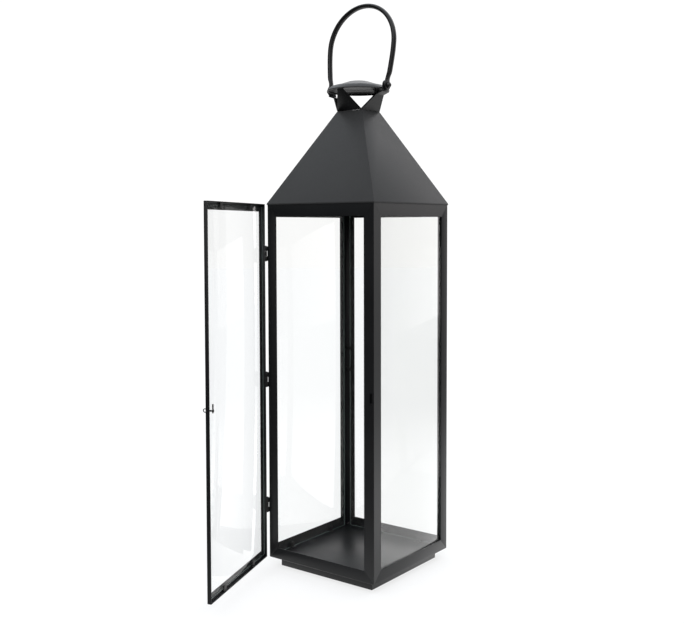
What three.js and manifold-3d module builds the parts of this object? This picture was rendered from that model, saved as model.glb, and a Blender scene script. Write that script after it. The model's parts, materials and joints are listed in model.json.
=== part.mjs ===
// Hurricane candle lantern: a tall square floor lantern in folded black sheet steel.
//
// Millimetres, +Z up. The origin is the centre of the plinth's underside. The door is on the -Y side,
// hinged at its left edge, and stands open. The bail handle swings about an axis parallel to X.

import * as THREE from 'three';
import { ConvexGeometry } from 'three/addons/geometries/ConvexGeometry.js';
import { mergeVertices } from 'three/addons/utils/BufferGeometryUtils.js';
import Module from 'manifold-3d';

const wasm = await Module();
wasm.setup();

// ---------------------------------------------------------------- driving dimensions

const HALF = 125;                // half the outer width and depth of the body
const SHEET = 1.2;               // steel sheet
const GAP = 0.3;                 // clearance between separate pieces that touch
const SEAM = 0.2;                // half the open seam of a mitre

const PLINTH_HALF = 108.5;
const PLINTH_HEIGHT = 18;
const PLINTH_WALL = 1.5;
const EAVE = 704;                // top of the body frame
const FLANGE = 22;               // both flanges of a post, and the inward flange of a rail
const BOTTOM_RAIL = 22;          // face height of the bottom rails
const TOP_RAIL = 25;             // face height of the top rails
const FLOOR_LOW = 19.5;
const FLOOR_TOP = 21;

const ROOF_TOP = 881;
const ROOF_TOP_HALF = 29.3;
const LIP_LOW = 701.9;           // lower edge of the roof's turned-down lip
const LIP_OUTER = 125.9;
const LIP_INNER = 125.3;

const COLLAR_LEAN = 0.78;        // outward travel per unit of height
const COLLAR_TAPER = 0.615;      // loss of half width per unit of height
const CAP_RADIUS = 60;
const CAP_RIM = 919.5;
const PIVOT_HEIGHT = 926;        // axis of the handle
const LUG_RADIUS = 9.5;          // round lug on each collar ear, and eye of the handle
const LUG_INNER = 62.4;
const LUG_OUTER = 63.9;

const GLASS = 3;                 // fixed panes
const PANE_HALF = 113;
const PANE_LOW = 21.3;
const PANE_TOP = 692;
const CLIP_SHEET = 0.8;
const CLIP_WIDTH = 12;
const CLIP_OFFSET = 62.5;        // clips sit a quarter of the width from the corners

const DOOR_OPEN = 70.4;          // degrees from closed
const DOOR_LOW = 19;
const DOOR_TOP = 703.6;
const DOOR_RIM = -126.2;         // inner edge of its folded rim, with the door closed
const DOOR_DEPTH = 7.4;
const DOOR_OUTER = DOOR_RIM - DOOR_DEPTH;
const DOOR_SHEET = 1;
const DOOR_RAIL = 14.5;          // face height of the door's rails
const DOOR_STILE = 13;           // face width of its stiles
const DOOR_GLASS = 2;
const DOOR_GLASS_HINGE = 2;      // from the door's hinge edge to its glass
const DOOR_GLASS_LATCH = 9;      // from its latch edge, to clear the spindle
const DOOR_GLASS_LOW = 5.5;      // from its top and bottom edges to its glass

const HINGE_HEIGHTS = { low: 121, mid: 366, high: 609 };
const HINGE_HALF = 14;
const MIDDLE_HALF = 4.65;        // half the middle third of the barrel
const KNUCKLE_RADIUS = 2.2;
const KNUCKLE_BORE = 1.35;
const PIN_RADIUS = 1;
const LEAF = 0.8;
const LEAF_NEAR = KNUCKLE_RADIUS - 0.1;   // from the pin to the outer face of either leaf
const PIN_X = -HALF - GAP - LEAF - LEAF_NEAR;
const PIN_Y = DOOR_RIM + GAP;

const LATCH_HEIGHT = 350;
const LATCH_INSET = 6.5;         // from the door's edge to the latch spindle
const SPINDLE_RADIUS = 1.5;
const LEVER_UP = 12;
const LEVER_DOWN = 4;
const LEVER_WIDTH = 4;
const LEVER_NEAR = -123.4;       // the tongue's face nearest the post, with the door closed
const LEVER_FAR = -122.3;
const EYE_RING = 2.9;            // the spindle's pull eye
const EYE_WIRE = 0.85;
const RIVET_RADIUS = 2.4;
const RIVET_HEIGHT = 0.8;

const HANDLE_LEAN = 7;           // degrees back from upright
const BAR_RADIAL = 4.3;          // half thickness of the bar in the plane of the loop
const BAR_NORMAL = 6;            // half width of the bar square to the loop
const EYE_INNER = 64.3;
const EYE_OUTER = 69.3;
const BOLT_RADIUS = 2.5;
const BOLT_HOLE = 2.8;
const HEAD_RADIUS = 5.4;         // domed head of the handle bolt

// ---------------------------------------------------------------- materials

function paint(name, color, roughness, metalness) {
  return new THREE.MeshStandardMaterial({ name, color, roughness, metalness });
}

const frameBlack = paint('frame_black', 0x232426, 0.5, 0.2);
const roofBlack = paint('roof_black', 0x2b2c2e, 0.55, 0.2);
const capBlack = paint('cap_black', 0x313233, 0.45, 0.3);
const handleBlack = paint('handle_black', 0x1c1c1d, 0.4, 0.3);
const hardwareBlack = paint('hardware_black', 0x141415, 0.35, 0.5);
const clearGlass = paint('clear_glass', 0xdfe6e4, 0.05, 0);
clearGlass.transparent = true;
clearGlass.opacity = 0.25;

// ---------------------------------------------------------------- solids and booleans

function toManifold(geometry) {
  const bare = geometry.index ? geometry.toNonIndexed() : geometry.clone();
  bare.deleteAttribute('normal');
  bare.deleteAttribute('uv');
  const merged = mergeVertices(bare, 1e-4);
  const mesh = new wasm.Mesh({
    numProp: 3,
    vertProperties: new Float32Array(merged.attributes.position.array),
    triVerts: new Uint32Array(merged.index.array),
  });
  return new wasm.Manifold(mesh);
}

function fromManifold(solid) {
  const mesh = solid.getMesh();
  const geometry = new THREE.BufferGeometry();
  geometry.setAttribute('position', new THREE.BufferAttribute(mesh.vertProperties, 3));
  geometry.setIndex(new THREE.BufferAttribute(mesh.triVerts, 1));
  return geometry;
}

function join(...geometries) {
  const solids = geometries.map(toManifold);
  return fromManifold(solids.reduce((whole, next) => whole.add(next)));
}

function cut(geometry, ...tools) {
  const solids = tools.map(toManifold);
  return fromManifold(solids.reduce((whole, next) => whole.subtract(next), toManifold(geometry)));
}

function keep(geometry, region) {
  return fromManifold(toManifold(geometry).intersect(toManifold(region)));
}

function block(low, high) {
  const size = high.map((value, axis) => value - low[axis]);
  const middle = high.map((value, axis) => (value + low[axis]) / 2);
  return new THREE.BoxGeometry(...size).translate(...middle);
}

// A straight prism over an outline in the XY plane, from one height to another.
function column(outline, low, high) {
  const shape = new THREE.Shape(outline.map(([x, y]) => new THREE.Vector2(x, y)));
  const options = { depth: high - low, bevelEnabled: false };
  return new THREE.ExtrudeGeometry(shape, options).translate(0, 0, low);
}

// A prism whose outline is given as (y, z) points, running along X from one place to another.
function barAlongX(outline, from, to) {
  const bar = column(outline, from, to);
  const turn = new THREE.Matrix4().set(0, 0, 1, 0, 1, 0, 0, 0, 0, 1, 0, 0, 0, 0, 0, 1);
  return bar.applyMatrix4(turn);
}

// A prism whose outline is given as (x, z) points, running along Y from one place to another.
function slabAlongY(outline, from, to) {
  return column(outline, -to, -from).rotateX(Math.PI / 2);
}

// A round bar along X, Y or Z.
function rod(radius, from, to, axis, segments = 24) {
  const bar = new THREE.CylinderGeometry(radius, radius, to - from, segments);
  bar.translate(0, (from + to) / 2, 0);
  if (axis === 'x') bar.rotateZ(-Math.PI / 2);
  if (axis === 'z') bar.rotateX(Math.PI / 2);
  return bar;
}

// A solid of revolution about Z from a closed (radius, height) outline.
function turned(outline, segments) {
  const points = outline.map(([radius, height]) => new THREE.Vector2(radius, height));
  return new THREE.LatheGeometry(points, segments).rotateX(Math.PI / 2);
}

function ring(inner, outer, low, high, segments = 20) {
  const outline = [[inner, low], [outer, low], [outer, high], [inner, high], [inner, low]];
  return turned(outline, segments);
}

// One side of a square frame, on the -Y side: an (offset, z) outline swept along X, with both ends
// cut on the vertical 45 degree planes through the frame's corners.
function mitredSide(outline) {
  const reach = Math.max(...outline.map(([offset]) => offset)) + 1;
  const near = Math.min(...outline.map(([offset]) => offset)) - 1;
  const heights = outline.map(([, z]) => z);
  const low = Math.min(...heights) - 1;
  const high = Math.max(...heights) + 1;
  const bar = barAlongX(outline.map(([offset, z]) => [-offset, z]), -reach, reach);
  const wedge = [
    [-(near - SEAM), -near],
    [-(reach - SEAM), -reach],
    [reach - SEAM, -reach],
    [near - SEAM, -near],
  ];
  return keep(bar, column(wedge, low, high));
}

// ---------------------------------------------------------------- assembly helpers

const lantern = new THREE.Group();
lantern.name = 'hurricane_candle_lantern';

// Turns that carry a piece made for the front side, or for the front right corner, round the body.
const SIDES = { front: 0, right: 90, back: 180, left: 270 };
const CORNERS = { front_right: 0, back_right: 90, back_left: 180, front_left: 270 };

function add(parent, name, geometry, material, turn = 0) {
  const mesh = new THREE.Mesh(geometry, material);
  mesh.name = name;
  mesh.rotation.z = THREE.MathUtils.degToRad(turn);
  parent.add(mesh);
  return mesh;
}

// ---------------------------------------------------------------- foot and floor

function plinth() {
  const outer = block([-PLINTH_HALF, -PLINTH_HALF, 0], [PLINTH_HALF, PLINTH_HALF, PLINTH_HEIGHT - GAP]);
  const inside = PLINTH_HALF - PLINTH_WALL;
  const hollow = block([-inside, -inside, PLINTH_WALL], [inside, inside, PLINTH_HEIGHT + 1]);
  return cut(outer, hollow);
}

function floorPlate() {
  const half = HALF - SHEET - GAP;
  return block([-half, -half, FLOOR_LOW], [half, half, FLOOR_TOP]);
}

// ---------------------------------------------------------------- body frame

// The front right post. Its ends are mitred in both faces, so the bottom end rises and the top end
// falls with distance from the outer edge of the corner.
function post() {
  const inner = HALF - SHEET;
  const edge = HALF - FLANGE;
  const angle = [
    [HALF, -HALF], [HALF, -edge], [inner, -edge], [inner, -inner], [edge, -inner], [edge, -HALF],
  ];
  const corners = [[HALF, -HALF, 0], [edge, -HALF, 1], [HALF, -edge, 1], [edge, -edge, 1]];
  const points = [];
  for (const [x, y, far] of corners) {
    points.push(new THREE.Vector3(x, y, PLINTH_HEIGHT + SEAM + far * BOTTOM_RAIL));
    points.push(new THREE.Vector3(x, y, EAVE - SEAM - far * TOP_RAIL));
  }
  return keep(column(angle, PLINTH_HEIGHT, EAVE), new ConvexGeometry(points));
}

// The slot that the latch tongue enters as the door closes.
function latchSlot() {
  const middle = HALF - LATCH_INSET;
  const half = LEVER_WIDTH / 2 + 0.9;
  const low = LATCH_HEIGHT - LEVER_DOWN - 1;
  const high = LATCH_HEIGHT + LEVER_UP + 1;
  return block([middle - half, -HALF - 1, low], [middle + half, -HALF + SHEET + 1, high]);
}

// A keeper plate welded to the post's side flange, behind the slot and clear of the tongue.
function latchKeeper() {
  const front = -119.8;
  const free = 107;
  const reach = 8;
  const low = LATCH_HEIGHT - LEVER_DOWN - reach;
  const high = LATCH_HEIGHT + LEVER_UP + reach;
  return block([free, front, low], [HALF - SHEET / 2, front + SHEET, high]);
}

// A folded angle rail: an upright face and an inward flange, mitred to the posts in the plane of the
// face and to its neighbours in the plane of the flange. base is the height of the flange's outer
// side, and way is +1 where the face rises from it, -1 where it hangs.
function rail(base, height, way) {
  const inner = HALF - SHEET;
  const edge = HALF - FLANGE;
  const skin = base + way * SHEET;
  const tip = base + way * height;
  const outline = [[HALF, base], [HALF, tip], [inner, tip], [inner, skin], [edge, skin], [edge, base]];
  const wide = HALF - SEAM;
  const narrow = HALF - FLANGE - SEAM;
  const face = [[-wide, base], [-narrow, tip], [narrow, tip], [wide, base]];
  return keep(mitredSide(outline), slabAlongY(face, -HALF - 1, 1 - edge));
}

// ---------------------------------------------------------------- roof and collar

function roofPanel() {
  const run = LIP_OUTER - ROOF_TOP_HALF;
  const rise = ROOF_TOP - EAVE - GAP;
  const across = SHEET * Math.hypot(run, rise) / rise;
  const outline = [
    [LIP_OUTER, LIP_LOW],
    [LIP_OUTER, EAVE + GAP],
    [ROOF_TOP_HALF, ROOF_TOP],
    [ROOF_TOP_HALF - across, ROOF_TOP],
    [LIP_OUTER - across, EAVE + GAP],
    [LIP_INNER, EAVE + GAP],
    [LIP_INNER, LIP_LOW],
  ];
  return mitredSide(outline);
}

const COLLAR_BASE = ROOF_TOP + GAP;
const COLLAR_ACROSS = SHEET * Math.hypot(1, COLLAR_LEAN);

function leanAt(height) {
  return ROOF_TOP_HALF + COLLAR_LEAN * (height - COLLAR_BASE);
}

function taperAt(height) {
  return ROOF_TOP_HALF - COLLAR_TAPER * (height - COLLAR_BASE);
}

// A collar sheet that ends inside the rim of the vent cap, with its tip turned upright.
function collarPlate() {
  const bend = 917.6;
  const tip = 920.6;
  const outline = [
    [ROOF_TOP_HALF, COLLAR_BASE],
    [leanAt(bend), bend],
    [leanAt(bend), tip],
    [leanAt(bend) - SHEET, tip],
    [leanAt(bend) - SHEET, bend + 0.6],
    [ROOF_TOP_HALF - COLLAR_ACROSS, COLLAR_BASE],
  ];
  const face = [
    [-taperAt(COLLAR_BASE), COLLAR_BASE],
    [-taperAt(bend), bend],
    [-taperAt(bend), tip],
    [taperAt(bend), tip],
    [taperAt(bend), bend],
    [taperAt(COLLAR_BASE), COLLAR_BASE],
  ];
  return keep(mitredSide(outline), slabAlongY(face, -70, -20));
}

// A collar sheet that jogs out under the rim of the vent cap and ends in a round upright lug.
function collarEar() {
  const jogLow = 909.5;
  const jogHigh = 914;
  const lugTop = PIVOT_HEIGHT + LUG_RADIUS;
  const outline = [
    [ROOF_TOP_HALF, COLLAR_BASE],
    [leanAt(jogLow), jogLow],
    [LUG_OUTER, jogHigh],
    [LUG_OUTER, lugTop],
    [LUG_INNER, lugTop],
    [LUG_INNER, jogHigh + 1.2],
    [leanAt(jogLow) - COLLAR_ACROSS, jogLow + 1.2],
    [ROOF_TOP_HALF - COLLAR_ACROSS, COLLAR_BASE],
  ];
  const face = [[-taperAt(COLLAR_BASE), COLLAR_BASE], [-taperAt(jogLow), jogLow]];
  const arcSteps = 14;
  for (let step = 0; step <= arcSteps; step += 1) {
    const angle = Math.PI * (1 - step / arcSteps);
    face.push([LUG_RADIUS * Math.cos(angle), PIVOT_HEIGHT + LUG_RADIUS * Math.sin(angle)]);
  }
  face.push([taperAt(jogLow), jogLow], [taperAt(COLLAR_BASE), COLLAR_BASE]);
  const ear = keep(mitredSide(outline), slabAlongY(face, -70, -20));
  return cut(ear, rod(BOLT_HOLE, -70, -60, 'y').translate(0, 0, PIVOT_HEIGHT));
}

// The vent cap is spun from one disc: nearly flat on top, a shallow ogee, and a rounded edge. Its
// outline is given as radius and height above the rim.
const CAP_CURVE = [[0, 20.1], [16, 19.3], [26, 16.6], [33, 14.2], [42, 11.4], [49, 10], [54.5, 7.8],
  [58.2, 4.4], [59.6, 1.8], [CAP_RADIUS, 0]];
const CAP_EDGE = 10;             // width of the rounded edge, where the sheet turns upright

function ventCap() {
  const outer = CAP_CURVE.map(([radius, rise]) => [radius, CAP_RIM + rise]);
  const inner = outer.map(([radius, height]) => {
    const turn = Math.max(0, radius - CAP_RADIUS + CAP_EDGE) / CAP_EDGE;
    return [radius - SHEET * turn, height - SHEET * (1 - turn ** 3)];
  });
  return turned([...inner, ...outer.reverse()], 48);
}

// A shouldered pivot: flange inside the lug, plain shank, domed head outside the handle's eye.
function handleBolt() {
  const outline = [
    [0, 60.6], [4.2, 60.6], [4.2, LUG_INNER - GAP], [BOLT_RADIUS, LUG_INNER - GAP],
    [BOLT_RADIUS, EYE_OUTER + GAP], [HEAD_RADIUS, EYE_OUTER + GAP], [HEAD_RADIUS, 71.4], [4.6, 73.6],
    [2.8, 75.2], [0, 75.8],
  ];
  return turned(outline, 24).rotateX(Math.PI / 2).translate(0, 0, PIVOT_HEIGHT);
}

// ---------------------------------------------------------------- glazing

function pane() {
  const outer = HALF - SHEET - GAP;
  return block([-PANE_HALF, -outer, PANE_LOW], [PANE_HALF, GLASS - outer, PANE_TOP]);
}

// A bent tab: foot on a plate, leg up or down the inner face of the pane.
function paneClip(x, base, way, foot, reach) {
  const face = HALF - SHEET - GAP - GLASS - GAP;
  const outline = [
    [-face, base],
    [-face, base + way * reach],
    [CLIP_SHEET - face, base + way * reach],
    [CLIP_SHEET - face, base + way * CLIP_SHEET],
    [foot - face, base + way * CLIP_SHEET],
    [foot - face, base],
  ];
  return barAlongX(outline, x - CLIP_WIDTH / 2, x + CLIP_WIDTH / 2);
}

// A flat tab at mid height on the back left post that traps the back pane against its flange.
function sideClip(height) {
  const face = HALF - SHEET - GAP;
  const low = height - 4;
  const high = height + 4;
  const outline = [
    [-face, face - GLASS - GAP - CLIP_SHEET],
    [-face + 14, face - GLASS - GAP - CLIP_SHEET],
    [-face + 14, face - GLASS - GAP],
    [-face + CLIP_SHEET, face - GLASS - GAP],
    [-face + CLIP_SHEET, face - 0.5],
    [-face, face - 0.5],
  ];
  return column(outline, low, high);
}

// ---------------------------------------------------------------- door, drawn closed

function doorRegion(outline) {
  return slabAlongY(outline, DOOR_OUTER - 1, DOOR_RIM + 1);
}

function doorStile(side) {
  const edge = side * HALF;
  const face = DOOR_OUTER + DOOR_SHEET;
  const angle = [
    [edge, DOOR_OUTER],
    [edge, DOOR_RIM],
    [edge - side * DOOR_SHEET, DOOR_RIM],
    [edge - side * DOOR_SHEET, face],
    [edge - side * DOOR_STILE, face],
    [edge - side * DOOR_STILE, DOOR_OUTER],
  ];
  const inner = edge - side * DOOR_STILE;
  const outline = [
    [edge, DOOR_LOW + SEAM],
    [edge, DOOR_TOP - SEAM],
    [inner, DOOR_TOP - DOOR_RAIL - SEAM],
    [inner, DOOR_LOW + DOOR_RAIL + SEAM],
  ];
  return keep(column(angle, DOOR_LOW, DOOR_TOP), doorRegion(outline));
}

function doorRail(base, way) {
  const face = DOOR_OUTER + DOOR_SHEET;
  const tip = base + way * DOOR_RAIL;
  const angle = [
    [DOOR_OUTER, base],
    [DOOR_RIM, base],
    [DOOR_RIM, base + way * DOOR_SHEET],
    [face, base + way * DOOR_SHEET],
    [face, tip],
    [DOOR_OUTER, tip],
  ];
  const wide = HALF - SEAM;
  const narrow = HALF - DOOR_STILE - SEAM;
  const outline = [[-wide, base], [-narrow, tip], [narrow, tip], [wide, base]];
  return keep(barAlongX(angle, -HALF, HALF), doorRegion(outline));
}

const DOOR_GLASS_NEAR = DOOR_OUTER + DOOR_SHEET + GAP;

function doorGlass() {
  return block(
    [-HALF + DOOR_GLASS_HINGE, DOOR_GLASS_NEAR, DOOR_LOW + DOOR_GLASS_LOW],
    [HALF - DOOR_GLASS_LATCH, DOOR_GLASS_NEAR + DOOR_GLASS, DOOR_TOP - DOOR_GLASS_LOW],
  );
}

// A bent tab: foot on the rim of a door rail, leg over the inner face of the glass.
function doorClip(x, base, way) {
  const leg = DOOR_GLASS_NEAR + DOOR_GLASS + GAP;
  const toe = DOOR_RIM - 0.6;
  const start = base + way * (DOOR_SHEET + GAP);
  const tip = base + way * CLIP_WIDTH;
  const outline = [
    [leg, start],
    [leg, tip],
    [leg + CLIP_SHEET, tip],
    [leg + CLIP_SHEET, start + way * CLIP_SHEET],
    [toe, start + way * CLIP_SHEET],
    [toe, start],
  ];
  return barAlongX(outline, x - CLIP_WIDTH / 2, x + CLIP_WIDTH / 2);
}

// ---------------------------------------------------------------- hinges, about their own pin at the origin

// A leaf that lies flat against the outside of the sheet, from near to far along Y, with a rolled
// knuckle over each of the given stretches of the barrel. way is the side of the pin it lies on.
function hingeLeaf(way, near, far, stretches) {
  const span = [way * near, way * far].sort((a, b) => a - b);
  const low = -HINGE_HALF;
  const high = HINGE_HALF;
  const pieces = [block([LEAF_NEAR, span[0], low], [LEAF_NEAR + LEAF, span[1], high])];
  const root = [way * -0.5, way * (near + 0.1)].sort((a, b) => a - b);
  for (const [start, end] of stretches) {
    pieces.push(ring(KNUCKLE_BORE, KNUCKLE_RADIUS, start, end));
    pieces.push(block([KNUCKLE_BORE + 0.2, root[0], start], [LEAF_NEAR + LEAF, root[1], end]));
  }
  return join(...pieces);
}

// The body's leaf holds the two ends of the barrel.
function bodyLeaf() {
  const inner = MIDDLE_HALF + GAP / 2;
  return hingeLeaf(1, 1.7, 12.9, [[-HINGE_HALF, -inner], [inner, HINGE_HALF]]);
}

// The door's leaf holds the middle of the barrel. It is given with the door closed.
function doorLeaf() {
  const outer = MIDDLE_HALF - GAP / 2;
  return hingeLeaf(-1, 2.6, 7.1, [[-outer, outer]]);
}

function hingePin() {
  const end = HINGE_HALF + GAP;
  const head = [[PIN_RADIUS, end], [1.9, end], [1.9, end + 0.6], [1.6, end + 1], [0, end + 1]];
  const foot = head.map(([radius, height]) => [radius, -height]).reverse();
  return turned([...foot, ...head], 16);
}

// ---------------------------------------------------------------- latch, drawn on the closed door

const LATCH_X = HALF - LATCH_INSET;

// A spindle along Y, riveted over the tongue inside and ending in a small eye outside.
function latchSpindle() {
  const eyeCentre = DOOR_OUTER - EYE_RING - EYE_WIRE - 0.35;
  const tip = eyeCentre + EYE_RING - 0.2;
  const rivet = LEVER_FAR + GAP;
  const outline = [
    [0, tip], [SPINDLE_RADIUS, tip], [SPINDLE_RADIUS, rivet], [RIVET_RADIUS, rivet],
    [RIVET_RADIUS, rivet + RIVET_HEIGHT], [0, rivet + RIVET_HEIGHT],
  ];
  const points = outline.map(([radius, y]) => new THREE.Vector2(radius, y));
  const spindle = new THREE.LatheGeometry(points, 20);
  const eye = new THREE.TorusGeometry(EYE_RING, EYE_WIRE, 8, 24);
  eye.rotateY(Math.PI / 2).translate(0, eyeCentre, 0);
  return join(spindle, eye).translate(LATCH_X, 0, LATCH_HEIGHT);
}

function latchLever() {
  const half = LEVER_WIDTH / 2;
  const chamfer = 1;
  const outline = [];
  for (const [x, z] of [[1, 1], [1, -1], [-1, -1], [-1, 1]]) {
    const tip = z > 0 ? LEVER_UP : -LEVER_DOWN;
    const corner = [[x * (half - chamfer), tip], [x * half, tip - z * chamfer]];
    outline.push(...(x === z ? corner : corner.reverse()));
  }
  const tongue = slabAlongY(outline, LEVER_NEAR, LEVER_FAR);
  const hole = rod(SPINDLE_RADIUS + 0.25, LEVER_NEAR - 1, LEVER_FAR + 1, 'y', 20);
  return cut(tongue, hole).translate(LATCH_X, 0, LATCH_HEIGHT);
}

// ---------------------------------------------------------------- handle, upright, pivot at the origin

const LOOP_HALF = 75.6;          // half width of the loop, to the middle of the bar
const LOOP_RISE = 78.3;          // height of its elliptical top above the widest place
const LOOP_WIDEST = 82.2;        // height of the widest place above the pivot
const LEG_FOOT = 68.9;           // from the middle of the lantern to the foot of a leg

class BailCurve extends THREE.Curve {
  // From one eye up the leg, over the round top and down to the other eye.
  getPoint(t, target = new THREE.Vector3()) {
    const legShare = 0.28;
    const start = 4.5;
    if (t > 0.5) {
      this.getPoint(1 - t, target);
      return target.setX(-target.x);
    }
    if (t < legShare) {
      const along = t / legShare;
      const swell = Math.sin(along * Math.PI / 2) ** 1.4;
      const height = start + (LOOP_WIDEST - start) * along;
      return target.set(-(LEG_FOOT + (LOOP_HALF - LEG_FOOT) * swell), 0, height);
    }
    const angle = (t - legShare) / (0.5 - legShare) * Math.PI / 2;
    return target.set(-LOOP_HALF * Math.cos(angle), 0, LOOP_WIDEST + LOOP_RISE * Math.sin(angle));
  }
}

function bailHandle() {
  const section = new THREE.Shape();
  section.absellipse(0, 0, BAR_NORMAL, BAR_RADIAL, 0, 2 * Math.PI, false, 0);
  const options = { steps: 64, curveSegments: 7, bevelEnabled: false, extrudePath: new BailCurve() };
  const bar = new THREE.ExtrudeGeometry(section, options);
  const eyes = [];
  const holes = [];
  for (const turn of [0, Math.PI]) {
    eyes.push(rod(LUG_RADIUS, EYE_INNER, EYE_OUTER, 'x', 28).rotateZ(turn));
    holes.push(rod(BOLT_HOLE, EYE_INNER - 2, EYE_OUTER + 2, 'x').rotateZ(turn));
    holes.push(rod(HEAD_RADIUS + GAP, EYE_OUTER, EYE_OUTER + 8, 'x').rotateZ(turn));
  }
  return cut(join(bar, ...eyes), ...holes);
}

// ---------------------------------------------------------------- assembly

add(lantern, 'plinth', plinth(), frameBlack);
add(lantern, 'floor_plate', floorPlate(), frameBlack);

for (const [corner, turn] of Object.entries(CORNERS)) {
  const geometry = corner === 'front_right' ? join(cut(post(), latchSlot()), latchKeeper()) : post();
  add(lantern, `post_${corner}`, geometry, frameBlack, turn);
}

for (const [side, turn] of Object.entries(SIDES)) {
  add(lantern, `bottom_rail_${side}`, rail(PLINTH_HEIGHT, BOTTOM_RAIL, 1), frameBlack, turn);
  add(lantern, `top_rail_${side}`, rail(EAVE, TOP_RAIL, -1), frameBlack, turn);
  add(lantern, `roof_panel_${side}`, roofPanel(), roofBlack, turn);
}

add(lantern, 'collar_plate_front', collarPlate(), capBlack, SIDES.front);
add(lantern, 'collar_plate_back', collarPlate(), capBlack, SIDES.back);
add(lantern, 'collar_ear_right', collarEar(), capBlack, SIDES.right);
add(lantern, 'collar_ear_left', collarEar(), capBlack, SIDES.left);
add(lantern, 'vent_cap', ventCap(), capBlack);
add(lantern, 'handle_bolt_right', handleBolt(), hardwareBlack, SIDES.right);
add(lantern, 'handle_bolt_left', handleBolt(), hardwareBlack, SIDES.left);

for (const side of ['right', 'back', 'left']) {
  const turn = SIDES[side];
  add(lantern, `glass_${side}`, pane(), clearGlass, turn);
  const low = paneClip(-CLIP_OFFSET, FLOOR_TOP + GAP, 1, 8, 10);
  const high = paneClip(0, EAVE - SHEET - GAP, -1, 12, 17);
  add(lantern, `glass_clip_${side}_low_a`, low, hardwareBlack, turn);
  add(lantern, `glass_clip_${side}_low_b`, low.clone().translate(2 * CLIP_OFFSET, 0, 0), hardwareBlack, turn);
  add(lantern, `glass_clip_${side}_top`, high, hardwareBlack, turn);
}
add(lantern, 'glass_clip_back_side_low', sideClip(358), hardwareBlack);
add(lantern, 'glass_clip_back_side_high', sideClip(403), hardwareBlack);

const door = new THREE.Group();
door.name = 'door';
door.position.set(PIN_X, PIN_Y, 0);
door.rotation.z = THREE.MathUtils.degToRad(-DOOR_OPEN);
lantern.add(door);

// Door pieces are drawn in body coordinates with the door closed, then hung on the pin.
function hang(name, geometry, material) {
  add(door, name, geometry.translate(-PIN_X, -PIN_Y, 0), material);
}

hang('door_stile_hinge', doorStile(-1), frameBlack);
const spindleHole = rod(SPINDLE_RADIUS + 0.4, DOOR_OUTER - 2, DOOR_OUTER + 3, 'y', 20);
hang('door_stile_latch', cut(doorStile(1), spindleHole.translate(LATCH_X, 0, LATCH_HEIGHT)), frameBlack);
hang('door_rail_bottom', doorRail(DOOR_LOW, 1), frameBlack);
hang('door_rail_top', doorRail(DOOR_TOP, -1), frameBlack);
hang('door_glass', doorGlass(), clearGlass);
for (const [letter, x] of [['a', -CLIP_OFFSET], ['b', CLIP_OFFSET]]) {
  hang(`door_clip_low_${letter}`, doorClip(x, DOOR_LOW, 1), hardwareBlack);
  hang(`door_clip_top_${letter}`, doorClip(x, DOOR_TOP, -1), hardwareBlack);
}
hang('latch_spindle', latchSpindle(), hardwareBlack);
hang('latch_lever', latchLever(), hardwareBlack);

for (const [level, height] of Object.entries(HINGE_HEIGHTS)) {
  const leaf = bodyLeaf().translate(PIN_X, PIN_Y, height);
  add(lantern, `hinge_leaf_body_${level}`, leaf, hardwareBlack);
  add(lantern, `hinge_pin_${level}`, hingePin().translate(PIN_X, PIN_Y, height), hardwareBlack);
  add(door, `hinge_leaf_door_${level}`, doorLeaf().translate(0, 0, height), hardwareBlack);
}

const handle = add(lantern, 'bail_handle', bailHandle(), handleBlack);
handle.position.set(0, 0, PIVOT_HEIGHT);
handle.rotation.x = THREE.MathUtils.degToRad(-HANDLE_LEAN);

export default lantern;
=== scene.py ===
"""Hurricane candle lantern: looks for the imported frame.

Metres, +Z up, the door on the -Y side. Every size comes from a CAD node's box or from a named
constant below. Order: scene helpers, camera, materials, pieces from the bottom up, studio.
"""

import json
from math import cos, pi, radians, sin, tau

import bmesh
import bpy
from mathutils import Matrix, Vector


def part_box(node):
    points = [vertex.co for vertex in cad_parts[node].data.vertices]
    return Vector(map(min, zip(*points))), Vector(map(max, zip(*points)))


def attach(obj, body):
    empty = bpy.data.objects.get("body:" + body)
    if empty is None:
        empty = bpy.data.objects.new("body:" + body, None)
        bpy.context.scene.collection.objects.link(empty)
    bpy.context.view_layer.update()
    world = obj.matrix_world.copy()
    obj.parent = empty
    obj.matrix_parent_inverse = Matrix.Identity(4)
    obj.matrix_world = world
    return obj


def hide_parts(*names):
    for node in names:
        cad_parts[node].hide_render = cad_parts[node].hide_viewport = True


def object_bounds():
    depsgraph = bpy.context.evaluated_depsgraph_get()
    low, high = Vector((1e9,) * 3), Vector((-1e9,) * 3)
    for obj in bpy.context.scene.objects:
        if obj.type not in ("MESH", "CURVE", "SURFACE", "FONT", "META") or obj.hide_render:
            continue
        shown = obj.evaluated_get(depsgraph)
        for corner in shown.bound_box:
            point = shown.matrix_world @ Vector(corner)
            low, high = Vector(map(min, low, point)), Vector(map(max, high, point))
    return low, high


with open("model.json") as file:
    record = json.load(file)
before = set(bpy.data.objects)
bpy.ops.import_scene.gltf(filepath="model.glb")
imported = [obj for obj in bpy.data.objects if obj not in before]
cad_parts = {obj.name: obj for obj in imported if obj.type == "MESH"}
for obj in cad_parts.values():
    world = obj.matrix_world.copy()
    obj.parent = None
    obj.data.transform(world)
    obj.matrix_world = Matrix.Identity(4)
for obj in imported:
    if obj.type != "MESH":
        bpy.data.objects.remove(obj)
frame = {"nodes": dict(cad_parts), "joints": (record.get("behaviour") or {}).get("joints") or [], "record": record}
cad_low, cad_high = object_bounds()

MM = 0.001

nodes = frame["nodes"]
record = frame["record"]
joints = {joint["name"]: joint for joint in frame["joints"]}
member_of = {
    node: body
    for body, members in record["behaviour"]["bodies"].items()
    for node in members
}
slot_of = {part["node"]: part["material_slot"] for part in record["subparts"]}

# ------------------------------------------------------------------ camera: the viewing angle

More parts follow.
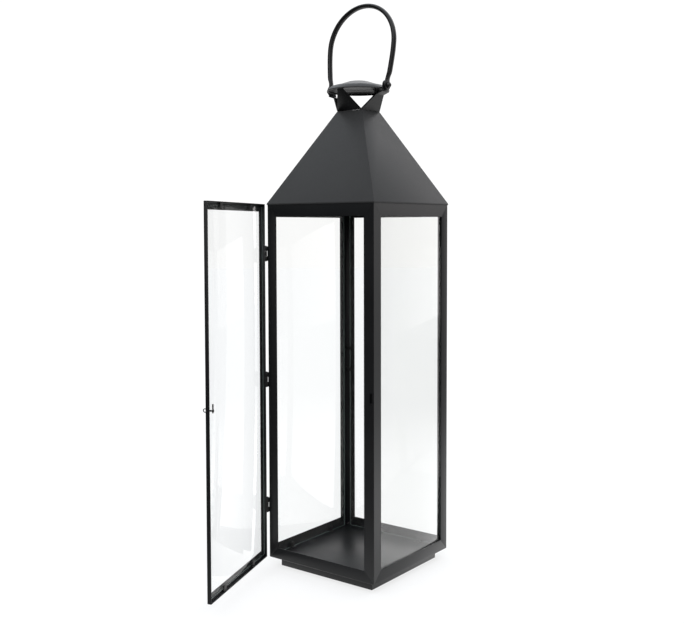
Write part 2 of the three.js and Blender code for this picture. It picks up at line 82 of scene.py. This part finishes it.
LANTERN_HEIGHT = cad_high.z - cad_low.z
VIEW_AZIMUTH = 37.34             # degrees round from the front, towards the right side
VIEW_DISTANCE = 1.6935 * LANTERN_HEIGHT
VIEW_HEIGHT = 0.6023 * LANTERN_HEIGHT
VIEW_ASIDE = -0.0296 * LANTERN_HEIGHT
VIEW_DOWN = 3.0                  # degrees below level
VIEW_ROLL = 0.15
LENS = 50.0
SHIFT_UP = -0.0483


def make_camera():
    turn = radians(VIEW_AZIMUTH)
    back = Vector((sin(turn), -cos(turn), 0))
    right = Vector((cos(turn), sin(turn), 0))
    data = bpy.data.cameras.new("camera")
    data.lens = LENS
    data.shift_y = SHIFT_UP
    camera = bpy.data.objects.new("camera", data)
    camera.location = back * VIEW_DISTANCE + right * VIEW_ASIDE + Vector((0, 0, VIEW_HEIGHT))
    camera.rotation_euler = (radians(90 - VIEW_DOWN), radians(VIEW_ROLL), turn)
    bpy.context.scene.collection.objects.link(camera)
    bpy.context.scene.camera = camera
    return camera


# ------------------------------------------------------------------ materials


class Nodes:
    """A small writer for node trees: node(kind, settings, inputs) adds one node and links it."""

    def __init__(self, tree):
        self.tree = tree
        self.tree.nodes.clear()

    def node(self, kind, inputs=None, **settings):
        made = self.tree.nodes.new(kind)
        for name, value in settings.items():
            setattr(made, name, value)
        for name, value in (inputs or {}).items():
            socket = made.inputs[name]
            if isinstance(value, bpy.types.NodeSocket):
                self.tree.links.new(value, socket)
            else:
                socket.default_value = value
        return made


def new_material(name):
    material = bpy.data.materials.new(name)
    material.use_nodes = True
    return material, Nodes(material.node_tree)


MOTTLE = 0.12                    # how far the paint's colour drifts each way, as a share of it
GLOSS_DRIFT = 0.04               # the same for its roughness, as a plain amount


def powder_coat(name, colour, roughness, grain, relief, specular):
    """Black powder coat: an orange-peel grain (its size in metres), and slow drifts of colour and gloss."""
    material, n = new_material(name)
    place = n.node("ShaderNodeTexCoord").outputs["Object"]
    drift = n.node("ShaderNodeTexNoise", {"Vector": place, "Scale": 9.0, "Detail": 4.0})
    speck = n.node("ShaderNodeTexNoise", {"Vector": place, "Scale": 1 / (grain * 2.2), "Detail": 2.0})
    peel = n.node(
        "ShaderNodeTexNoise", {"Vector": place, "Scale": 1 / grain, "Detail": 3.0, "Roughness": 0.6}
    )

    dark = [channel * (1 - MOTTLE) for channel in colour] + [1]
    light = [channel * (1 + MOTTLE) for channel in colour] + [1]
    tone = n.node("ShaderNodeMath", {0: drift.outputs["Fac"], 1: speck.outputs["Fac"]}, operation="ADD")
    tone = n.node("ShaderNodeMapRange", {"Value": tone.outputs[0], "From Min": 0.7, "From Max": 1.3})
    paint = n.node(
        "ShaderNodeMix", {"Factor": tone.outputs[0], "A": dark, "B": light}, data_type="RGBA"
    )
    gloss = n.node(
        "ShaderNodeMapRange",
        {
            "Value": drift.outputs["Fac"],
            "From Min": 0.3,
            "From Max": 0.7,
            "To Min": roughness - GLOSS_DRIFT,
            "To Max": roughness + GLOSS_DRIFT,
        },
    )
    bump = n.node(
        "ShaderNodeBump", {"Height": peel.outputs["Fac"], "Strength": relief, "Distance": grain * 0.25}
    )
    shader = n.node(
        "ShaderNodeBsdfPrincipled",
        {
            "Base Color": paint.outputs["Result"],
            "Roughness": gloss.outputs[0],
            "Normal": bump.outputs[0],
            "Specular IOR Level": specular,
        },
    )
    n.node("ShaderNodeOutputMaterial", {"Surface": shader.outputs[0]})
    return material


FACE_ON = 0.04                   # how much a glass face mirrors straight on, by Schlick's rule
AT_GRAZING = 0.96                # and how much is added at grazing angles


def clear_glass(name, tint, mirrored):
    """Float glass: clear, smeared a little, and mirroring more at a slant. Mirrored scales that."""
    material, n = new_material(name)
    place = n.node("ShaderNodeTexCoord").outputs["Object"]
    smear = n.node("ShaderNodeTexNoise", {"Vector": place, "Scale": 6.0, "Detail": 3.0})
    rough = n.node(
        "ShaderNodeMapRange",
        {
            "Value": smear.outputs["Fac"],
            "From Min": 0.3,
            "From Max": 0.7,
            "To Min": 0.01,
            "To Max": 0.05,
        },
    )
    through = n.node("ShaderNodeBsdfTransparent", {"Color": tint})
    mirror = n.node("ShaderNodeBsdfGlossy", {"Color": (1, 1, 1, 1), "Roughness": rough.outputs[0]})
    facing = n.node("ShaderNodeLayerWeight", {"Blend": 0.5}).outputs["Facing"]
    slant = n.node("ShaderNodeMath", {0: facing, 1: 5.0}, operation="POWER")
    fresnel = n.node(
        "ShaderNodeMath",
        {0: slant.outputs[0], 1: AT_GRAZING * mirrored, 2: FACE_ON * mirrored},
        operation="MULTIPLY_ADD",
    )
    glass = n.node(
        "ShaderNodeMixShader", {0: fresnel.outputs[0], 1: through.outputs[0], 2: mirror.outputs[0]}
    )
    n.node("ShaderNodeOutputMaterial", {"Surface": glass.outputs[0]})
    return material


def glass_edge(name):
    """The cut edge of float glass: a dull grey green with fine chips."""
    material, n = new_material(name)
    place = n.node("ShaderNodeTexCoord").outputs["Object"]
    chips = n.node("ShaderNodeTexNoise", {"Vector": place, "Scale": 400.0, "Detail": 2.0})
    tone = n.node(
        "ShaderNodeMix",
        {"Factor": chips.outputs["Fac"], "A": (0.07, 0.09, 0.085, 1), "B": (0.11, 0.135, 0.128, 1)},
        data_type="RGBA",
    )
    shader = n.node(
        "ShaderNodeBsdfPrincipled",
        {"Base Color": tone.outputs["Result"], "Roughness": 0.3},
    )
    n.node("ShaderNodeOutputMaterial", {"Surface": shader.outputs[0]})
    return material


FRAME_PAINT = powder_coat("frame_paint", (0.0072, 0.0076, 0.0082), 0.34, 0.0007, 0.15, specular=0.25)
PLATE_PAINT = powder_coat("plate_paint", (0.0072, 0.0076, 0.0082), 0.36, 0.0012, 0.06, specular=0.22)
ROOF_PAINT = powder_coat("roof_paint", (0.036, 0.0362, 0.0366), 0.42, 0.0006, 0.25, specular=0.07)
CAP_PAINT = powder_coat("cap_paint", (0.012, 0.012, 0.0122), 0.36, 0.0009, 0.2, specular=0.42)
HANDLE_PAINT = powder_coat("handle_paint", (0.006, 0.006, 0.0062), 0.28, 0.001, 0.25, specular=0.25)
HARDWARE_PAINT = powder_coat("hardware_paint", (0.005, 0.005, 0.0052), 0.32, 0.0008, 0.15, specular=0.4)
GLASS = clear_glass("glass", (0.966, 0.968, 0.964, 1), 0.75)
DOOR_GLASS = clear_glass("door_glass", (0.985, 0.988, 0.987, 1), 0.55)
GLASS_EDGE = glass_edge("glass_edge")

PAINT_OF_SLOT = {
    "frame": FRAME_PAINT,
    "roof": ROOF_PAINT,
    "cap": CAP_PAINT,
    "handle": HANDLE_PAINT,
    "hardware": HARDWARE_PAINT,
    "glass": GLASS,
}

# ------------------------------------------------------------------ mesh helpers

SHEET = 1.2 * MM                 # steel of the body and roof
DOOR_SHEET = 1.0 * MM
CLIP_SHEET = 0.8 * MM
SEAM_FILL = 0.06 * MM            # how far a mitred end moves to leave only a fine dark seam
HIP_FILL = 0.17 * MM             # the same at the hips of the roof, which are shut
ROUND_BELOW = 1.9 * MM           # faces narrower than this are bends and edges, and shade smoothly


def pose_of(joint, degrees):
    """The matrix that turns a joint's child by so many degrees from rest."""
    pin = Vector(joints[joint]["pos_m"])
    turn = Matrix.Rotation(radians(degrees), 4, Vector(joints[joint]["axis"]))
    return Matrix.Translation(pin) @ turn @ Matrix.Translation(-pin)


AS_BUILT = Matrix.Identity(4)
DOOR_SHUT = pose_of("door_swing", joints["door_swing"]["range_deg"][1])


def face_width(face):
    return face.calc_area() / max(edge.calc_length() for edge in face.edges)


def whole_faces(node, work=AS_BUILT):
    """A bmesh copy of a CAD node, moved by work, with its flat faces in one piece again."""
    bm = bmesh.new()
    bm.from_mesh(nodes[node].data)
    bmesh.ops.transform(bm, matrix=work, verts=bm.verts)
    bmesh.ops.remove_doubles(bm, verts=bm.verts, dist=0.01 * MM)
    bmesh.ops.dissolve_limit(bm, angle_limit=radians(1), verts=bm.verts, edges=bm.edges)
    return bm


def lengthen(bm, axis, beyond, fill):
    """Moves both ends of a mitred piece outward, where they are further than beyond from its middle."""
    places = [vert.co[axis] for vert in bm.verts]
    middle = (min(places) + max(places)) / 2
    for vert in bm.verts:
        offset = vert.co[axis] - middle
        if abs(offset) > beyond:
            vert.co[axis] += fill if offset > 0 else -fill


def round_edges(bm, chosen, size, steps):
    edges = [edge for edge in bm.edges if chosen(edge)]
    if edges:
        bmesh.ops.bevel(
            bm, geom=edges, offset=size, offset_type="OFFSET", segments=steps, profile=0.5,
            affect="EDGES", clamp_overlap=True,
        )


def soften(bm, sheet, outside, inside, arris):
    """Rounds the outside and inside of every bend, then takes the sharpness off all the other edges."""

    def bend(edge, convex):
        if len(edge.link_faces) != 2 or edge.is_convex != convex:
            return False
        broad = all(face_width(face) > 1.6 * sheet for face in edge.link_faces)
        return broad and edge.calc_face_angle(0) > radians(25)

    if outside:
        round_edges(bm, lambda edge: bend(edge, True), outside, 4)
        round_edges(bm, lambda edge: bend(edge, False), inside, 2)

    def sharp(edge):
        return len(edge.link_faces) == 2 and edge.calc_face_angle(0) > radians(50)

    round_edges(bm, sharp, arris, 2)


def shade(mesh, all_round=False):
    for polygon in mesh.polygons:
        corners = [mesh.vertices[index].co for index in polygon.vertices]
        longest = max((a - b).length for a, b in zip(corners, corners[1:] + corners[:1]))
        polygon.use_smooth = all_round or polygon.area / longest < ROUND_BELOW
    mesh.set_sharp_from_angle(angle=radians(38))


def new_piece(bm, name, materials, all_round=False):
    mesh = bpy.data.meshes.new(name)
    bmesh.ops.dissolve_degenerate(bm, dist=0.002 * MM, edges=bm.edges)
    bm.normal_update()
    bm.to_mesh(mesh)
    bm.free()
    shade(mesh, all_round)
    for material in materials:
        mesh.materials.append(material)
    piece = bpy.data.objects.new(name, mesh)
    bpy.context.scene.collection.objects.link(piece)
    return piece


def stand_for(piece, node):
    """The piece is shown in the CAD node's place and on its body; the CAD node is hidden."""
    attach(piece, member_of[node])
    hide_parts(node)


def sheet_piece(node, sheet, outside, inside, arris=0.2, work=AS_BUILT, long_axis=None, beyond=0,
                fill=SEAM_FILL, paint=None):
    """A folded sheet part: the CAD node's own faces with true bends and eased edges (in mm)."""
    bm = whole_faces(node, work)
    if long_axis is not None:
        lengthen(bm, long_axis, beyond, fill)
    soften(bm, sheet, outside * MM, inside * MM, arris * MM)
    bmesh.ops.transform(bm, matrix=work.inverted(), verts=bm.verts)
    piece = new_piece(bm, f"{node}_sheet", [paint or PAINT_OF_SLOT[slot_of[node]]])
    stand_for(piece, node)
    return piece


def lathe(bm, outline, steps, place):
    """Adds a solid of revolution about Z from (radius, height) points, in mm, that end on the axis."""
    rings = []
    for radius, height in outline:
        if radius == 0:
            rings.append([bm.verts.new(place @ Vector((0, 0, height * MM)))])
            continue
        ring = []
        for step in range(steps):
            angle = tau * step / steps
            point = Vector((radius * cos(angle), radius * sin(angle), height)) * MM
            ring.append(bm.verts.new(place @ point))
        rings.append(ring)
    for low, high in zip(rings, rings[1:]):
        for step in range(steps):
            after = (step + 1) % steps
            corners = [
                low[step % len(low)],
                low[after % len(low)],
                high[after % len(high)],
                high[step % len(high)],
            ]
            unique = list(dict.fromkeys(corners))
            if len(unique) > 2:
                bm.faces.new(unique)


def smooth_outline(points, steps):
    """A Catmull-Rom curve through (radius, height) points."""
    padded = [points[0]] + points + [points[-1]]
    curve = []
    for a, b, c, d in zip(padded, padded[1:], padded[2:], padded[3:]):
        for step in range(steps):
            t = step / steps
            curve.append(tuple(
                0.5 * (
                    2 * q
                    + (r - p) * t
                    + (2 * p - 5 * q + 4 * r - s) * t**2
                    + (3 * q - p - 3 * r + s) * t**3
                )
                for p, q, r, s in zip(a, b, c, d)
            ))
    return curve + [points[-1]]


def combined(piece, other, operation):
    """The piece's mesh after a boolean with another object, which is then deleted."""
    boolean = piece.modifiers.new("boolean", "BOOLEAN")
    boolean.operation = operation
    boolean.solver = "EXACT"
    boolean.object = other
    bpy.context.view_layer.update()
    whole = bpy.data.meshes.new_from_object(piece.evaluated_get(bpy.context.evaluated_depsgraph_get()))
    piece.modifiers.clear()
    old = piece.data
    piece.data = whole
    whole.name = piece.name
    bpy.data.meshes.remove(old)
    spare = other.data
    bpy.data.objects.remove(other)
    bpy.data.meshes.remove(spare)
    shade(whole, all_round=True)


# ------------------------------------------------------------------ foot, floor and body frame

sheet_piece("plinth", 1.5 * MM, 1.4, 0.4, 0.25)
sheet_piece("floor_plate", 1.5 * MM, 0, 0, 0.3, paint=PLATE_PAINT)

ALONG = {"front": 0, "right": 1, "back": 0, "left": 1}
for corner in ("front_right", "back_right", "back_left", "front_left"):
    sheet_piece(f"post_{corner}", SHEET, 1.5, 0.5, long_axis=2, beyond=200 * MM)
for side, axis in ALONG.items():
    sheet_piece(f"bottom_rail_{side}", SHEET, 1.5, 0.5, long_axis=axis, beyond=50 * MM)
    sheet_piece(f"top_rail_{side}", SHEET, 1.5, 0.5, long_axis=axis, beyond=50 * MM)

# ------------------------------------------------------------------ roof, collar and cap

for side, axis in ALONG.items():
    node = f"roof_panel_{side}"
    sheet_piece(node, SHEET, 0.9, 0.3, 0.3, long_axis=axis, beyond=10 * MM, fill=HIP_FILL)
for node in ("collar_plate_front", "collar_plate_back", "collar_ear_right", "collar_ear_left"):
    sheet_piece(node, SHEET, 0.7, 0.3, 0.2, paint=FRAME_PAINT)


def vent_cap():
    """Spun disc: a low crown, a shallow waist, and an edge rolled into a bead."""
    low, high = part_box("vent_cap")
    radius = (high.x - low.x) / 2 / MM
    rise = (high.z - low.z) / MM
    sheet = SHEET / MM
    bead = 1.1                   # radius of the rolled edge
    steep_from, steep_over = 50, 10  # where the side turns down, and over how much radius
    crown = [(0, rise), (16, rise - 0.8), (26, rise - 3.5), (33, rise - 5.9), (42, rise - 8.7),
             (49, rise - 10.1), (54.5, rise - 12.5), (58.2, rise - 16.0), (radius - 0.25, 1.9)]
    top = smooth_outline(crown, 5)
    rolled = []
    for step in range(13):
        angle = pi * 1.55 * step / 12
        rolled.append((radius - bead + bead * cos(angle), bead - bead * sin(angle)))
    under = []
    for r, z in reversed(top):
        if r < radius - bead - 0.5:
            steep = max(0, r - steep_from) / steep_over
            under.append((max(0.0, r - sheet * steep), z - sheet * (1 - steep**3)))
    under[-1] = (0, rise - sheet)
    place = Matrix.Translation(Vector((0, 0, low.z)))
    bm = bmesh.new()
    lathe(bm, top + rolled + under, 96, place)
    bmesh.ops.recalc_face_normals(bm, faces=bm.faces)
    stand_for(new_piece(bm, "vent_cap_spun", [CAP_PAINT], all_round=True), "vent_cap")


vent_cap()

# ------------------------------------------------------------------ handle and its bolts

PIVOT = Vector(joints["handle_swing"]["pos_m"])


def handle_bolt(side, way):
    """A shouldered pivot with a turned collar inside the lug and a domed head outside the eye."""
    low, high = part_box(f"handle_bolt_{side}")
    inner = min(abs(low.x), abs(high.x)) / MM
    outer = max(abs(low.x), abs(high.x)) / MM
    eye_outer = EYE_MIDDLE + EYE_THICK
    shank, collar, head = 2.5, 4.2, 5.4
    shoulder = inner + 1.5
    seat = eye_outer + 0.3
    brow = seat + 0.9            # where the head's straight side ends and its dome starts
    outline = [(0, inner), (collar - 0.3, inner), (collar, inner + 0.3), (collar, shoulder - 0.2),
               (collar - 0.2, shoulder), (shank, shoulder), (shank, seat), (head - 0.3, seat),
               (head, seat + 0.3), (head, brow)]
    steps = 8
    for step in range(1, steps + 1):
        angle = pi / 2 * step / steps
        outline.append((head * cos(angle) if step < steps else 0, brow + (outer - brow) * sin(angle)))
    place = Matrix.Translation(PIVOT) @ Matrix.Rotation(way * pi / 2, 4, "Y")
    bm = bmesh.new()
    lathe(bm, outline, 40, place)
    bmesh.ops.recalc_face_normals(bm, faces=bm.faces)
    node = f"handle_bolt_{side}"
    stand_for(new_piece(bm, f"{node}_turned", [HARDWARE_PAINT], all_round=True), node)


HANDLE_LEAN = 7                  # degrees back from upright at rest; the lengths below are in mm
BAR_THICK = 4.3                  # half the bar's thickness in the plane of the loop
BAR_WIDE = 6.0                   # half its width square to that plane
EYE_THICK = 2.5                  # half the thickness of an eye
EYE_RADIUS = 9.5
EYE_MIDDLE = 66.8                # from the middle of the lantern to the middle of an eye
LEG_FOOT = 68.9                  # and to the middle of the bar where a leg starts
LOOP_HALF = 75.6                 # half width of the loop, to the middle of the bar
LOOP_RISE = 78.3                 # height of its elliptical top above the widest place
LOOP_WIDEST = 82.2               # height of the widest place above the pivot
SWELL_START = 4.5                # height where the leg starts to curve out to the loop
SWELL_POWER = 1.4
NECK_START, NECK_END = 8.5, 26   # heights between which the flat eye grows into the oval bar
BORE = 2.8


def blend_in(value, start, end):
    share = min(1, max(0, (value - start) / (end - start)))
    return share * share * (3 - 2 * share)


def bar_section(height):
    """The leg's middle, half thickness, half width and squareness at a height over the pivot, in mm."""
    full = blend_in(height, NECK_START, NECK_END)
    share = min(1, max(0, (height - SWELL_START) / (LOOP_WIDEST - SWELL_START)))
    swell = sin(share * pi / 2) ** SWELL_POWER
    on_bar = LEG_FOOT + (LOOP_HALF - LEG_FOOT) * swell
    middle = EYE_MIDDLE + (on_bar - EYE_MIDDLE) * full
    thick = EYE_THICK + (BAR_THICK - EYE_THICK) * full
    disc = max(0.0, EYE_RADIUS**2 - height**2) ** 0.5
    neck = BAR_WIDE * blend_in(height, -3, 6)
    wide = (disc**6 + neck**6) ** (1 / 6)
    square = 5 - 3 * blend_in(height, 2, 16)
    return middle, thick, wide, square


def bail_handle():
    """One forged bar: flat round eyes that grow into an oval bar, bent to a round-topped loop."""
    sides = 32
    eye_steps, leg_steps, arc_steps = 9, 12, 22
    neck = (0, 1.5, 3, 4.5, 6, 7.2, 8.4, 9.6, 11, 12.5, 14, 16, 18, 20.5, 23, NECK_END)
    stations = []
    for step in range(eye_steps):
        stations.append(("leg", -EYE_RADIUS * cos(pi / 2 * (step + 0.35) / eye_steps)))
    stations += [("leg", height) for height in neck]
    for step in range(1, leg_steps + 1):
        stations.append(("leg", NECK_END + (LOOP_WIDEST - NECK_END) * step / leg_steps))
    for step in range(1, arc_steps + 1):
        stations.append(("arc", pi / 2 * step / arc_steps))
    rings = []
    for kind, value in stations:
        if kind == "leg":
            middle, thick, wide, square = bar_section(value)
            centre = Vector((-middle, 0, value))
            out = Vector((-1, 0, 0))
        else:
            thick, wide, square = BAR_THICK, BAR_WIDE, 2
            centre = Vector((-LOOP_HALF * cos(value), 0, LOOP_WIDEST + LOOP_RISE * sin(value)))
            out = Vector((-LOOP_RISE * cos(value), 0, LOOP_HALF * sin(value))).normalized()
        ring = []
        for side in range(sides):
            angle = tau * side / sides
            u = abs(cos(angle)) ** (2 / square) * (1 if cos(angle) >= 0 else -1)
            v = abs(sin(angle)) ** (2 / square) * (1 if sin(angle) >= 0 else -1)
            ring.append(centre + out * thick * u + Vector((0, 1, 0)) * wide * v)
        rings.append(ring)
    mirrored = []
    for ring in reversed(rings[:-1]):
        mirrored.append([Vector((-ring[side].x, ring[side].y, ring[side].z)) for side in range(sides)])
    rings += mirrored

    stood = Matrix.Translation(PIVOT) @ Matrix.Rotation(radians(-HANDLE_LEAN), 4, "X")
    bm = bmesh.new()
    made = [[bm.verts.new(stood @ (point * MM)) for point in ring] for ring in rings]
    for low, high in zip(made, made[1:]):
        for side in range(sides):
            after = (side + 1) % sides
            bm.faces.new((low[side], low[after], high[after], high[side]))
    bm.faces.new(made[0][::-1])
    bm.faces.new(made[-1])
    bmesh.ops.recalc_face_normals(bm, faces=bm.faces)
    handle = new_piece(bm, "bail_handle_forged", [HANDLE_PAINT], all_round=True)
    for way in (-1, 1):
        drill = bmesh.new()
        length = EYE_MIDDLE + 12
        place = Matrix.Translation(PIVOT) @ Matrix.Rotation(way * pi / 2, 4, "Y")
        lathe(drill, [(0, 50), (BORE, 50), (BORE, length), (0, length)], 36, place)
        bmesh.ops.recalc_face_normals(drill, faces=drill.faces)
        combined(handle, new_piece(drill, "drill", []), "DIFFERENCE")
    stand_for(handle, "bail_handle")


bail_handle()
handle_bolt("right", 1)
handle_bolt("left", -1)

# ------------------------------------------------------------------ door, hinges and latch

DOOR_ALONG = {"door_stile_hinge": 2, "door_stile_latch": 2, "door_rail_bottom": 0, "door_rail_top": 0}
for node, axis in DOOR_ALONG.items():
    sheet_piece(node, DOOR_SHEET, 1.1, 0.4, 0.15, work=DOOR_SHUT, long_axis=axis, beyond=60 * MM)

for level in ("low", "mid", "high"):
    sheet_piece(f"hinge_leaf_body_{level}", CLIP_SHEET, 0, 0, 0.12)
    sheet_piece(f"hinge_leaf_door_{level}", CLIP_SHEET, 0, 0, 0.12, work=DOOR_SHUT)

for node in nodes:
    if node.startswith(("glass_clip", "door_clip")):
        work = DOOR_SHUT if node.startswith("door") else AS_BUILT
        sheet_piece(node, CLIP_SHEET, 0.8, 0.3, 0.12, work=work)

sheet_piece("latch_lever", CLIP_SHEET, 0, 0, 0.2, work=DOOR_SHUT)


def hinge_pin(level):
    """A plain pin with a low domed head at each end."""
    node = f"hinge_pin_{level}"
    low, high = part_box(node)
    half = (high.z - low.z) / 2 / MM
    head = (high.x - low.x) / 2 / MM
    shank = 1.0
    dome = 0.55
    steps = 5
    top = [(shank, half - 1), (head - 0.15, half - 1), (head, half - 0.8), (head, half - dome)]
    for step in range(1, steps + 1):
        angle = pi / 2 * step / steps
        top.append((head * cos(angle) if step < steps else 0, half - dome + dome * sin(angle)))
    outline = [(radius, -height) for radius, height in reversed(top)] + top
    bm = bmesh.new()
    lathe(bm, outline, 28, Matrix.Translation((low + high) / 2))
    bmesh.ops.recalc_face_normals(bm, faces=bm.faces)
    stand_for(new_piece(bm, f"{node}_turned", [HARDWARE_PAINT], all_round=True), node)


for level in ("low", "mid", "high"):
    hinge_pin(level)


def latch_spindle():
    """A round spindle riveted inside the tongue, with its outer end bent into a pull eye."""
    ring, wire = 2.9, 0.85       # the eye's middle radius, and the radius of its wire
    shaft = 1.5
    axis = Vector(joints["latch_turn"]["axis"])
    pivot = Vector(joints["latch_turn"]["pos_m"])
    ends = [(vert.co - pivot).dot(axis) / MM for vert in nodes["latch_spindle"].data.vertices]
    inner, outer = min(ends), max(ends)
    centre = outer - ring - wire
    neck = centre - ring
    place = Matrix.Translation(pivot) @ axis.to_track_quat("Z", "Y").to_matrix().to_4x4()
    bm = bmesh.new()
    outline = [(0, inner), (1.9, inner), (2.4, inner + 0.3), (2.4, inner + 0.8), (shaft, inner + 0.8),
               (shaft, neck - 0.5), (1.2, neck + 0.2), (0, neck + 0.2)]
    lathe(bm, outline, 28, place)
    bmesh.ops.recalc_face_normals(bm, faces=bm.faces)
    spindle = new_piece(bm, "latch_spindle_turned", [HARDWARE_PAINT], all_round=True)
    bm = bmesh.new()
    around, across = 40, 14
    verts = []
    for step in range(around):
        turn = tau * step / around
        out = Vector((0, sin(turn), cos(turn)))
        circle = []
        for s in range(across):
            angle = tau * s / across
            point = Vector((wire * sin(angle), 0, centre)) + out * (ring + wire * cos(angle))
            circle.append(bm.verts.new(place @ (point * MM)))
        verts.append(circle)
    for step in range(around):
        here, there = verts[step], verts[(step + 1) % around]
        for s in range(across):
            t = (s + 1) % across
            bm.faces.new((here[s], here[t], there[t], there[s]))
    bmesh.ops.recalc_face_normals(bm, faces=bm.faces)
    combined(spindle, new_piece(bm, "eye", []), "UNION")
    stand_for(spindle, "latch_spindle")


latch_spindle()

# ------------------------------------------------------------------ glass


def glass_sheet(node, clear=GLASS, work=AS_BUILT):
    """Cut float glass: clear faces, grey-green edges, and a polished arris all round."""
    bm = whole_faces(node, work)
    soften(bm, CLIP_SHEET, 0, 0, 0.35 * MM)
    bmesh.ops.transform(bm, matrix=work.inverted(), verts=bm.verts)
    for face in bm.faces:
        face.material_index = 0 if face_width(face) > 20 * MM else 1
    piece = new_piece(bm, f"{node}_sheet", [clear, GLASS_EDGE])
    stand_for(piece, node)


for node in ("glass_right", "glass_back", "glass_left"):
    glass_sheet(node)
glass_sheet("door_glass", DOOR_GLASS, DOOR_SHUT)

# ------------------------------------------------------------------ studio

WHITE = 1.07                     # radiance of the backdrop as the camera sees it, and nearly the floor's
FLOOR_RADIUS = 14
FLOOR_DARK, FLOOR_LIGHT = 0.21, 0.23  # the part of the floor's white that light and shadow fall on
FLOOR_GLOW = 0.73                # the rest of the floor's radiance, which takes no shadow
FLOOR_ACROSS = -0.9, 0.6         # where mirrors see the floor turn from dim to bright (m, lit way)
FLOOR_MIRRORED = 0.14, 2.3       # how dim and how bright that is
FLOOR_NEAR = 0.35, 1.8           # where it falls off with distance (m)
FLOOR_FAR = 0.35                 # and what is left of it there
ABOVE_FROM, ABOVE_TO = 0.28, 0.72  # how far up the light from above starts and is full
ABOVE, ABOVE_LEAST = 1.6, 0.08   # its strength, and what comes from everywhere
ABOVE_LOST = 0.6                 # share of it that gives way to the lit side
LIT, LIT_NARROW = 1.6, 0.4       # strength of the lit side, and the cosine where it fades out
FILL, FILL_NARROW, FILL_FULL = 1.1, 0.4, 0.9  # the same for the fill, and where it is full
LIT_FROM = Vector((0.05, 1.0, 0.05)).normalized()  # the bright side of the studio, at the back
FILL_FROM = Vector((0.5, -0.85, 0.1)).normalized()  # a softer light at the front right
COOL = (0.95, 1.0, 1.05, 1)
WARM = (1.02, 0.99, 0.99, 1)


def ramp(n, value, start, stop, low, high):
    return n.node(
        "ShaderNodeMapRange",
        {"Value": value, "From Min": start, "From Max": stop, "To Min": low, "To Max": high},
        interpolation_type="SMOOTHSTEP",
    ).outputs[0]


def along(n, vector, direction):
    dot = n.node("ShaderNodeVectorMath", {0: vector, 1: direction}, operation="DOT_PRODUCT")
    return dot.outputs["Value"]


def times_plus(n, value, factor, extra):
    return n.node("ShaderNodeMath", {0: value, 1: factor, 2: extra}, operation="MULTIPLY_ADD").outputs[0]


def make_floor():
    """A white sweep. Mirrors see it bright near the lit side, and dim on the other side and far off."""
    bm = bmesh.new()
    bmesh.ops.create_circle(bm, cap_ends=True, radius=FLOOR_RADIUS, segments=96)
    mesh = bpy.data.meshes.new("studio_floor")
    bm.to_mesh(mesh)
    bm.free()
    floor = bpy.data.objects.new("studio_floor", mesh)
    floor.location.z = cad_low.z
    bpy.context.scene.collection.objects.link(floor)
    material, n = new_material("studio_white")
    place = n.node("ShaderNodeTexCoord").outputs["Object"]
    grain = n.node("ShaderNodeTexNoise", {"Vector": place, "Scale": 30.0, "Detail": 3.0})
    tone = n.node(
        "ShaderNodeMix",
        {
            "Factor": grain.outputs["Fac"],
            "A": (FLOOR_DARK, FLOOR_DARK, FLOOR_DARK, 1),
            "B": (FLOOR_LIGHT, FLOOR_LIGHT, FLOOR_LIGHT, 1),
        },
        data_type="RGBA",
    )
    matte = n.node("ShaderNodeBsdfDiffuse", {"Color": tone.outputs["Result"]})
    glow = n.node("ShaderNodeEmission", {"Color": (1, 1, 1, 1), "Strength": FLOOR_GLOW})
    shown = n.node("ShaderNodeAddShader", {0: matte.outputs[0], 1: glow.outputs[0]})
    flat = Vector((LIT_FROM.x, LIT_FROM.y, 0)).normalized()
    strength = ramp(n, along(n, place, flat), *FLOOR_ACROSS, *FLOOR_MIRRORED)
    reach = n.node("ShaderNodeVectorMath", {0: place}, operation="LENGTH").outputs["Value"]
    near = ramp(n, reach, *FLOOR_NEAR, 1, FLOOR_FAR)
    strength = times_plus(n, strength, near, 0.0)
    mirrored = n.node("ShaderNodeEmission", {"Color": (1, 1, 1, 1), "Strength": strength})
    seen = n.node("ShaderNodeLightPath").outputs["Is Camera Ray"]
    mix = n.node("ShaderNodeMixShader", {0: seen, 1: mirrored.outputs[0], 2: shown.outputs[0]})
    n.node("ShaderNodeOutputMaterial", {"Surface": mix.outputs[0]})
    mesh.materials.append(material)


def make_world():
    """White behind the lantern, in a soft studio: bright above and on the lit side, dim opposite."""
    world = bpy.data.worlds.new("studio")
    world.use_nodes = True
    n = Nodes(world.node_tree)
    way = n.node("ShaderNodeTexCoord").outputs["Generated"]
    lit = ramp(n, along(n, way, LIT_FROM), LIT_NARROW, 1.0, 0, 1)
    fill = ramp(n, along(n, way, FILL_FROM), FILL_NARROW, FILL_FULL, 0, FILL)
    above = ramp(n, along(n, way, Vector((0, 0, 1))), ABOVE_FROM, ABOVE_TO, 0, 1)
    share = times_plus(n, lit, -ABOVE_LOST, 1.0)
    above = times_plus(n, above, share, 0.0)
    above = times_plus(n, above, ABOVE, ABOVE_LEAST)
    lit = times_plus(n, lit, LIT, fill)
    top = n.node("ShaderNodeBackground", {"Strength": above, "Color": COOL})
    side = n.node("ShaderNodeBackground", {"Strength": lit, "Color": WARM})
    studio = n.node("ShaderNodeAddShader", {0: top.outputs[0], 1: side.outputs[0]})
    white = n.node("ShaderNodeBackground", {"Strength": WHITE, "Color": (1, 1, 1, 1)})
    seen = n.node("ShaderNodeLightPath").outputs["Is Camera Ray"]
    mix = n.node("ShaderNodeMixShader", {0: seen, 1: studio.outputs[0], 2: white.outputs[0]})
    n.node("ShaderNodeOutputWorld", {"Surface": mix.outputs[0]})
    bpy.context.scene.world = world


make_camera()
make_floor()
make_world()
bpy.context.scene.view_settings.view_transform = "Standard"
